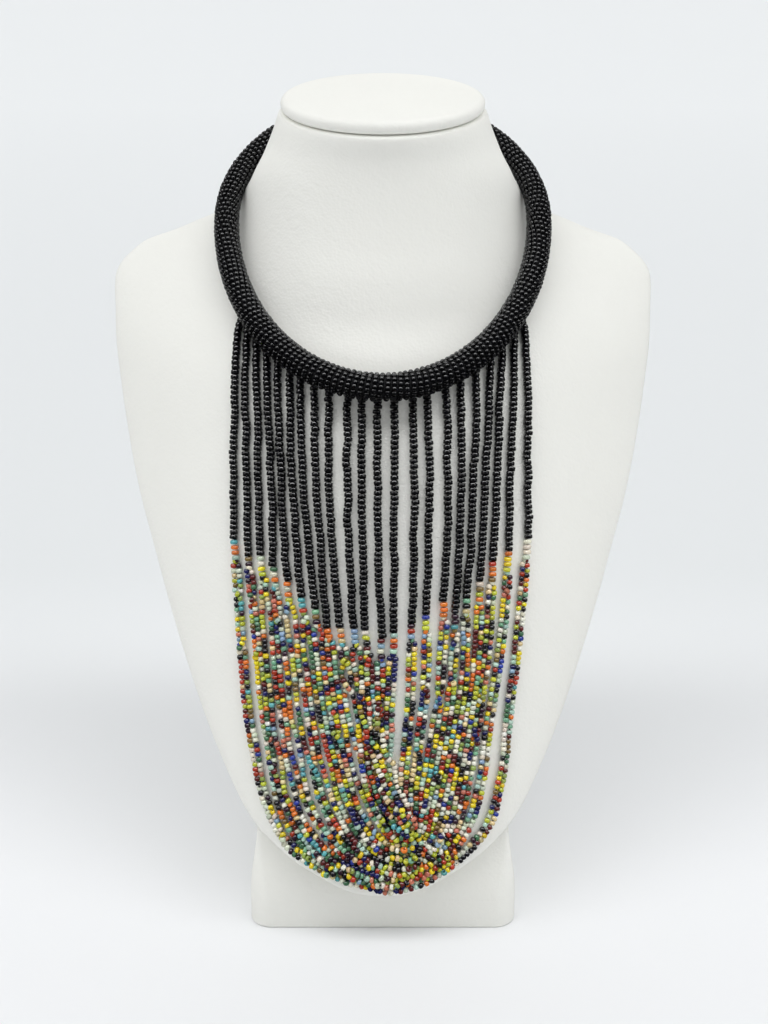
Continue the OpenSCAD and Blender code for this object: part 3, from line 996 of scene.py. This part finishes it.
def glass_colours(count):
    """Colours by chance, with now and then a run of one colour."""
    shares = np.array([share for _, share in GLASS], float)
    picks = chance.choice(len(GLASS), count, p=shares / shares.sum())
    left = 0
    for i in range(1, count):
        if left > 0:
            left -= 1
            picks[i] = picks[i - 1]
        elif chance.random() < SAME_AGAIN:
            picks[i] = picks[i - 1]
        elif chance.random() < RUN_STARTS:
            left = int(chance.integers(2, 5))
    lit = np.array([plain_colour(*colour) for colour, _ in GLASS])[picks]
    return np.minimum(lit * chance.uniform(0.8, 1.25, (count, 1))
                      * chance.uniform(0.95, 1.05, (count, 3)), BRIGHTEST)


# The places where the beads would lie if none was in another's way.
thread_guides = []
thread_pair = []
single_centres = []
single_axes = []
single_pair = []
for k in range(PAIRS):
    left_x, left_z = BLACK[k, 2:]
    right_x, right_z = BLACK[2 * PAIRS - 1 - k, 2:]
    share = np.interp(k + 1, ROUTED, range(len(ROUTED)))
    below = min(int(share), len(ROUTED) - 2)
    route = ROUTES[below] + (ROUTES[below + 1] - ROUTES[below]) * (share - below)
    right_leg = []
    for x, z in zip(RIGHT_LEGS[k], RIGHT_LEVELS):
        right_leg.append((x, max(z, route[-1, 1] + ABOVE_LOWEST)))
    corners = np.array([(left_x, left_z - BELOW_BLACK), *route, *right_leg,
                        (right_x, right_z - BELOW_BLACK)])
    corners[1:-1] += chance.normal(0, LAID, corners[1:-1].shape)
    flat = smooth_way(corners, STEPS_A_PLACE)
    total = length_along(flat)[-1]
    singles = chance.integers(2, 5, 2)
    head, tail = singles * BLACK_PITCH
    for count, start, sign in ((singles[0], 0, 1), (singles[1], total, -1)):
        places = start + sign * (FIRST_SINGLE + BLACK_PITCH * np.arange(count))
        spot = walk(flat, places)
        spot[:, 0] += chance.normal(0, SINGLE_ASIDE, count)
        spot = over_chest(spot[:, 0], spot[:, 1], np.full(count, BLACK_D / 2 + ON_CHEST))
        single_centres.append(spot)
        single_axes.append(tilt_by_chance(np.repeat([SINGLE_AXIS], count, 0), SINGLE_TILT))
        single_pair += [k] * count
    places = np.linspace(head, total - tail, int(total * STEPS_A_MM))
    path = walk(flat, places)
    course = unit(np.gradient(path, axis=0))
    square = np.stack([course[:, 1], -course[:, 0]], -1)
    twist = 2 * math.pi * soft_wave(places, TWIST_LENGTH, TWIST)
    from_ends = np.minimum(places - head, total - tail - places)
    wide = np.clip(from_ends / PARTING, PARTED_LEAST, 1)
    drift = soft_wave(places, DRIFT_LENGTH, DRIFT) * wide
    low_share = np.clip((LOW_FROM - path[:, 1]) / LOW_FULL, 0, 1)
    left_share = np.clip((LEFT_UNTIL - places / total) * LEFT_FADE, 0, 1)
    left_share = left_share * np.clip(k / FIRST_SPREAD_PAIR, 0, 1)
    half = PAIR_HALF + (LEFT_HALF - PAIR_HALF) * left_share
    for side in (1, -1):
        aside = (side * half * np.cos(twist) * wide + drift
                 + soft_wave(places, LOOP_SWAY_LENGTH, LOOP_SWAY))
        height = (COLOUR_D / 2 + ON_CHEST + half * (1 + side * np.sin(twist)) * wide
                  + low_share * LOW_STEP * k)
        spot = path + aside[:, None] * square
        way = over_chest(spot[:, 0], spot[:, 1], height)
        run = length_along(way)[-1]
        thread_guides.append(walk(way, np.linspace(0, run, int(round(run / COLOUR_PITCH)))))
        thread_pair.append(k)

# The threads then settle: beads push each other apart, keep their distance on the thread, stay
# out of the chest and lean on it. A guide holds them near their places, and lets go by the end.
SETTLE_TURNS = 120
HOLD = 0.03
LINK = 0.35
TOUCHING = 0.95
PUSH = 0.3
NEAR_EVERY = 6
NEAR_WITHIN = 1.2
NEVER_CLOSER = 0.05
PRESS = 0.05
PRESS_MOST = 0.06
LIFT = 0.8

guide = np.concatenate(thread_guides)
sizes = np.array([len(way) for way in thread_guides])
starts = np.cumsum(sizes) - sizes
first_bead = np.setdiff1d(np.arange(len(guide) - 1), starts[1:] - 1)
loose = np.ones(len(guide))
loose[starts] = 0
loose[starts + sizes - 1] = 0
beads = guide.copy()


def near_pairs(points, distance):
    """Beads of the whole fringe that are close, apart from neighbours on one thread."""
    small = points.astype(np.float32)
    square = (small ** 2).sum(1)
    apart = square[:, None] + square[None] - 2 * small @ small.T
    a, b = np.nonzero(np.triu(apart < distance ** 2, 2))
    return a, b


def spread(change, index, values):
    """Adds each value to the change of its own bead."""
    for axis in range(3):
        change[:, axis] += np.bincount(index, values[:, axis], len(change))


for turn in range(SETTLE_TURNS):
    if turn % NEAR_EVERY == 0:
        near_a, near_b = near_pairs(beads, COLOUR_D + NEAR_WITHIN)
    change = (guide - beads) * HOLD * (1 - turn / SETTLE_TURNS)
    link = beads[first_bead + 1] - beads[first_bead]
    size = np.linalg.norm(link, axis=1)
    pull = (LINK * (size - COLOUR_PITCH) / size)[:, None] * link
    spread(change, first_bead, pull)
    spread(change, first_bead + 1, -pull)
    between = beads[near_b] - beads[near_a]
    size = np.maximum(np.linalg.norm(between, axis=1), NEVER_CLOSER)
    close = np.maximum(COLOUR_D * TOUCHING - size, 0)
    push = (PUSH * close / size)[:, None] * between
    spread(change, near_a, -push)
    spread(change, near_b, push)
    normal = chest_normal(beads[:, 0], beads[:, 2])
    clear = (chest_depth(beads[:, 0], beads[:, 2]) - beads[:, 1]) * -normal[:, 1]
    over = clear - COLOUR_D / 2 - ON_CHEST
    inward = np.where(over > 0, np.minimum(over * PRESS, PRESS_MOST), over * LIFT)
    change -= normal * inward[:, None]
    beads = beads + change * loose[:, None]

# Beads are a little larger where the loops turn at the bottom, between these levels, and lie
# and lean less evenly there. On the right of RIGHT_FROM they are a little smaller.
BOTTOM_FROM = 70
BOTTOM_FADE = 25
BOTTOM_LARGER = 0.1
RIGHT_FROM = 5
RIGHT_FADE = 10
RIGHT_SMALLER = 0.07
UNEVEN = 0.06
UNEVEN_LOW = 0.12
ASKEW = 0.16
ASKEW_LOW = 0.24
LENGTH_VARY = 0.12
WIDTH_VARY = 0.18
WIDTH_MOST = 0.4
SINGLE_L_VARY = 0.08
SINGLE_W_VARY = 0.1

colour_glass = bead_glass("coloured_glass", 0.08, 0.2, 0.75)
# The loops' thread is painted dark, as painted shade in the gaps between the beads.
painted_shade_thread = thread_cotton("painted_shade_thread", plain_colour(84, 78, 70))
single_centres = np.concatenate(single_centres)
single_axes = np.concatenate(single_axes)
single_pair = np.array(single_pair)
thread_pair = np.array(thread_pair)
for name, first, last in (("outer_loops", 0, 3), ("middle_loops", 3, 6), ("inner_loops", 6, 11)):
    centre = []
    axis = []
    width = []
    ways = []
    for way in np.nonzero((thread_pair >= first) & (thread_pair < last))[0]:
        own = beads[starts[way]:starts[way] + sizes[way]]
        low = np.clip((BOTTOM_FROM - own[:, 2]) / BOTTOM_FADE, 0, 1)
        right = np.clip((own[:, 0] - RIGHT_FROM) / RIGHT_FADE, 0, 1)
        course = unit(np.gradient(own, axis=0))
        uneven = UNEVEN + UNEVEN_LOW * low
        centre.append(own + uneven[:, None] * chance.normal(0, 1, own.shape))
        askew = ASKEW + ASKEW_LOW * low
        axis.append(course + askew[:, None] * chance.normal(0, 1, own.shape))
        width.append(COLOUR_D * (1 - RIGHT_SMALLER * right + BOTTOM_LARGER * low))
        ways.append(own)
    mine = (single_pair >= first) & (single_pair < last)
    width = np.concatenate(width)
    small = len(width)
    large = int(mine.sum())
    length = np.concatenate([chance.normal(COLOUR_BEAD_L, LENGTH_VARY, small),
                             chance.normal(BLACK_BEAD_L, SINGLE_L_VARY, large)])
    width = width + np.clip(chance.normal(0, WIDTH_VARY, small), -WIDTH_MOST, WIDTH_MOST)
    width = np.concatenate([width, chance.normal(BLACK_BEAD_W - SINGLE_SMALLER, SINGLE_W_VARY,
                                                 large)])
    loops = bead_piece(name, np.concatenate([*centre, single_centres[mine]]),
                       np.concatenate([*axis, single_axes[mine]]), length, width,
                       COLOUR_SECTION, COLOUR_BEAD_SIDES, glass_colours)
    nodes = ["colour_loop_%d_%s" % (k + 1, side) for k in range(first, last)
             for side in ("outer", "inner")]
    fit_piece(loops, colour_glass, "coloured_beads", *nodes)
    thread_piece(name + "_threads", ways, painted_shade_thread, "coloured_beads", *nodes)

# The stage is a broad sheet of pale paper under the bust. Its colour holds painted shade: it is
# darker some way behind the bust, and paler again far off.

FLOOR_HALF = 30
# Depths between which the painted shades of the sheet lie, and each shade with its share of the
# way.
FLOOR_FROM = -0.2
FLOOR_TO = 4.0
FLOOR_PAINTED_SHADE = [
    (0.04, (0.825, 0.835, 0.845, 1)),
    (0.13, (0.72, 0.74, 0.745, 1)),
    (1.0, (0.785, 0.805, 0.81, 1)),
]


def pale_paper(name):
    """A plain matt sheet with painted shade in soft bands by depth, and a faint fibre."""
    material, finish, add, place = new_finish(name)
    depth = add("ShaderNodeSeparateXYZ", {"Vector": place}).outputs["Y"]
    share = add("ShaderNodeMapRange", {"Value": depth, "From Min": FLOOR_FROM,
                                       "From Max": FLOOR_TO})
    # Painted shade: the colour runs darker some way behind the bust and paler again far off.
    tone = add("ShaderNodeValToRGB", {"Fac": share.outputs["Result"]})
    shades = tone.color_ramp.elements
    shades.new(0.5)
    for stop, (position, colour) in zip(shades, FLOOR_PAINTED_SHADE):
        stop.position = position
        stop.color = colour
    fibre = noise_at(add, place, 400)
    finish({"Base Color": tone.outputs["Color"],
            "Normal": relief(add, fibre.outputs["Fac"], 0.1, 0.0001),
            "Roughness": 0.8,
            "Specular IOR Level": 0.1})
    return material


floor_mesh = bpy.data.meshes.new("paper_floor")
floor_mesh.from_pydata([(-FLOOR_HALF, -FLOOR_HALF, 0), (FLOOR_HALF, -FLOOR_HALF, 0),
                        (FLOOR_HALF, FLOOR_HALF, 0), (-FLOOR_HALF, FLOOR_HALF, 0)], [],
                       [(0, 1, 2, 3)])
floor = new_object("paper_floor", floor_mesh)
floor.data.materials.append(pale_paper("pale_paper"))
# Glossy beads don't mirror the sheet, as if a dark card lay before the bust.
floor.visible_glossy = False
floor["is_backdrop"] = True

# The room lights the bust evenly from all round, and a long soft light hangs over it from side
# to side. The room is darker behind the camera than beyond the bust, and dark below it.

ROOM_TINT = (0.985, 0.99, 1.0, 1)
ROOM_FRONT = 0.32
ROOM_BACK = 0.70
ROOM_BELOW = 0.12
STRIP_LEAN = math.radians(20)
STRIP_HALF = 0.12
STRIP_EDGE = 0.2
STRIP_POWER = 4.8
# Where each change begins and is complete, from 1 straight ahead or up to -1 the other way.
FRONT_TO_BACK = (-0.9, 0.3)
BELOW_TO_LEVEL = (-0.12, 0.02)
LEVEL_TO_STRIP = (0.5, 0.75)
# Glossy beads mirror less of the room, and more of the long light. The camera sees the room as
# pale all round.
ROOM_MIRRORED = 0.32
STRIP_MIRRORED = 2.2
ROOM_SEEN = 0.84

world = bpy.data.worlds.new("soft_room")
world.use_nodes = True
feed_room, add_room = node_helpers(world.node_tree)


def room_ramp(value, start, stop, low, high):
    """A value that goes from low to high while another goes from start to stop."""
    ramp = add_room("ShaderNodeMapRange", {"Value": value, "From Min": start, "From Max": stop,
                                           "To Min": low, "To Max": high})
    return ramp.outputs["Result"]


def room_maths(operation, *values):
    inputs = dict(enumerate(values))
    return add_room("ShaderNodeMath", inputs, operation=operation).outputs[0]


direction = add_room("ShaderNodeTexCoord", {}).outputs["Generated"]
toward = add_room("ShaderNodeSeparateXYZ", {"Vector": direction}).outputs
ray = add_room("ShaderNodeLightPath", {}).outputs
even = room_maths("MULTIPLY", room_ramp(toward["Y"], *FRONT_TO_BACK, ROOM_FRONT, ROOM_BACK),
                  room_ramp(toward["Z"], *BELOW_TO_LEVEL, ROOM_BELOW, 1))
even = room_maths("MULTIPLY", even, room_ramp(ray["Is Glossy Ray"], 0, 1, 1, ROOM_MIRRORED))
strip_square = (0, math.cos(STRIP_LEAN), math.sin(STRIP_LEAN))
off_strip = add_room("ShaderNodeVectorMath", {0: direction, 1: strip_square},
                     operation="DOT_PRODUCT").outputs["Value"]
strip = room_ramp(room_maths("ABSOLUTE", off_strip), STRIP_HALF * (1 - STRIP_EDGE),
                  STRIP_HALF * (1 + STRIP_EDGE), STRIP_POWER, 0)
strip = room_maths("MULTIPLY", strip, room_ramp(toward["Z"], *LEVEL_TO_STRIP, 0, 1))
strip = room_maths("MULTIPLY", strip, room_ramp(ray["Is Glossy Ray"], 0, 1, 1, STRIP_MIRRORED))
lit = room_maths("MULTIPLY", room_maths("ADD", even, strip),
                 room_ramp(ray["Is Camera Ray"], 0, 1, 1, 0))
feed_room(world.node_tree.nodes["Background"], {
    "Color": ROOM_TINT,
    "Strength": room_maths("ADD", lit, room_ramp(ray["Is Camera Ray"], 0, 1, 0, ROOM_SEEN))})
bpy.context.scene.world = world

# Two broad soft lights stand a little in front of the bust, one on each side.

SIDE_PLACE = (1.0, -0.6, 0.35)
SIDE_SPREAD = math.radians(35)
SIDE_POWER = 0.16

for name, side in (("left_light", -1), ("right_light", 1)):
    lamp = bpy.data.lights.new(name, "SUN")
    lamp.energy = SIDE_POWER
    lamp.color = (1.0, 0.99, 0.975)
    lamp.angle = SIDE_SPREAD
    light = new_object(name, lamp)
    light.location = (side * SIDE_PLACE[0], SIDE_PLACE[1], SIDE_PLACE[2])
    light.rotation_mode = "QUATERNION"
    light.rotation_quaternion = light.location.to_track_quat("Z", "Y")

# The camera stands at arm's length, a little above the collar, and looks down at the chest.

CAMERA_PLACE = (0.0005, -0.6517, 0.385)
CAMERA_DOWN = math.radians(19)

lens = bpy.data.cameras.new("camera")
lens.lens = 56
lens.sensor_width = 36
lens.clip_start = 0.05
lens.clip_end = 100
camera = new_object("camera", lens)
camera.location = CAMERA_PLACE
camera.rotation_euler = (math.pi / 2 - CAMERA_DOWN, 0, 0)
bpy.context.scene.camera = camera
bpy.context.scene.view_settings.view_transform = "Standard"

low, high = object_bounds()
